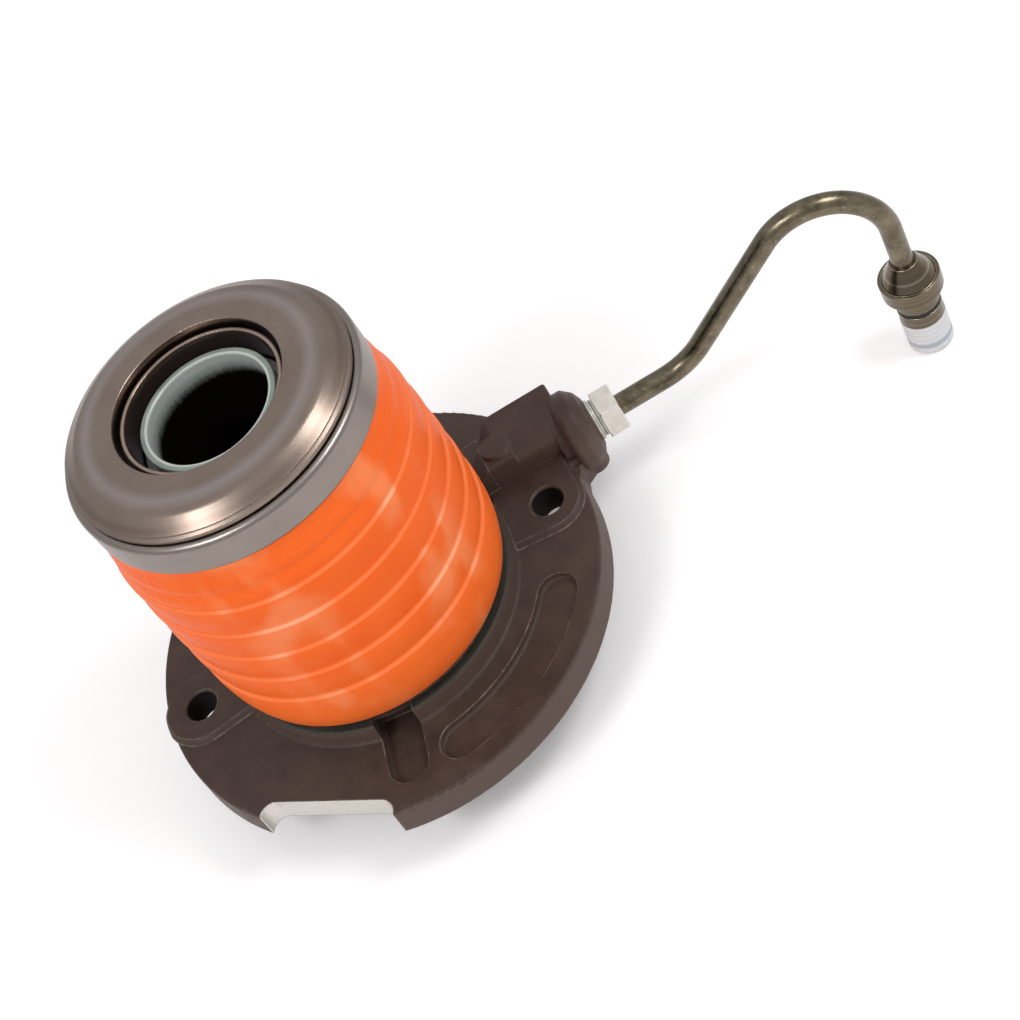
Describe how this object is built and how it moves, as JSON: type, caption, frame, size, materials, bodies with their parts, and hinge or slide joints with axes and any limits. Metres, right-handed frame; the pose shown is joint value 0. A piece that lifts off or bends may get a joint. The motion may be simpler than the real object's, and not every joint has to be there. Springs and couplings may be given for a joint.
{
  "type": "clutch slave cylinder",
  "caption": "Concentric clutch slave cylinder with flanged housing, bellows boot, release bearing, steel hydraulic pipe and capped quick connector.",
  "frame": {"origin": "on the shaft axis, in the flange's mounting face, midway between the two bolt holes", "axes": "+Z along the shaft axis from the mounting face to the release bearing; +X through the bolt hole next to the hydraulic port, and parallel to the port; +Y completes a right-handed frame"},
  "size_m": [0.2391, 0.13, 0.1215],
  "materials": {
    "casting": "fine cast surface with a dark brown-black coating",
    "zinc_steel": "dull zinc plating",
    "black_rubber": "matt black",
    "spring_steel": "dark oiled spring steel",
    "nut_zinc": "bright zinc plating",
    "pipe_steel": "olive-brown coated steel, satin",
    "connector_steel": "olive-brown coated steel, satin",
    "cap_plastic": "soft translucent plastic",
    "boot_orange": "glossy orange",
    "piston_alloy": "turned",
    "cup_steel": "satin pressed steel",
    "race_steel": "ground steel with a warm tint",
    "cage_plastic": "moulded",
    "ball_steel": "polished"
  },
  "bodies": {
    "housing": {"housing": "casting", "port_block": "casting", "pressure_cylinder": "casting", "locating_spigot": "casting", "boot_ring": "casting", "guide_tube": "zinc_steel", "shaft_seal": "black_rubber", "spigot_ring": "black_rubber", "stop_ring": "spring_steel", "lower_spring_seat": "spring_steel", "port_nut": "nut_zinc", "pipe": "pipe_steel", "quick_connector": "connector_steel", "connector_seal": "black_rubber", "transport_cap": "cap_plastic", "boot": "boot_orange", "preload_spring": "spring_steel"},
    "bearing_carrier": {"piston": "piston_alloy", "piston_seal": "black_rubber", "bearing_cup": "cup_steel", "fixed_race": "race_steel", "bearing_clip": "spring_steel", "centring_washer": "spring_steel", "upper_spring_seat": "spring_steel", "inner_seal": "black_rubber", "outer_seal": "black_rubber"},
    "release_race": {"release_race": "race_steel"},
    "ball_cage": {"ball_cage": "cage_plastic", "bearing_balls": "ball_steel"}
  },
  "joints": [
    {"name": "bearing_slide", "type": "slide", "parent": "housing", "child": "bearing_carrier", "axis": [0, 0, 1], "range_m": [-0.025, 0], "stiffness_N_per_m": 2000, "springref_m": 0.03, "deforming": ["boot", "preload_spring"]},
    {"name": "race_spin", "type": "hinge", "parent": "bearing_carrier", "child": "release_race", "pos_m": [0, 0, 0.0963], "axis": [0, 0, 1], "continuous": true},
    {"name": "cage_spin", "type": "hinge", "parent": "bearing_carrier", "child": "ball_cage", "pos_m": [0, 0, 0.0963], "axis": [0, 0, 1], "continuous": true}
  ],
  "couplings": [
    {"joint": "cage_spin", "follows": "race_spin", "ratio": 0.5}
  ]
}
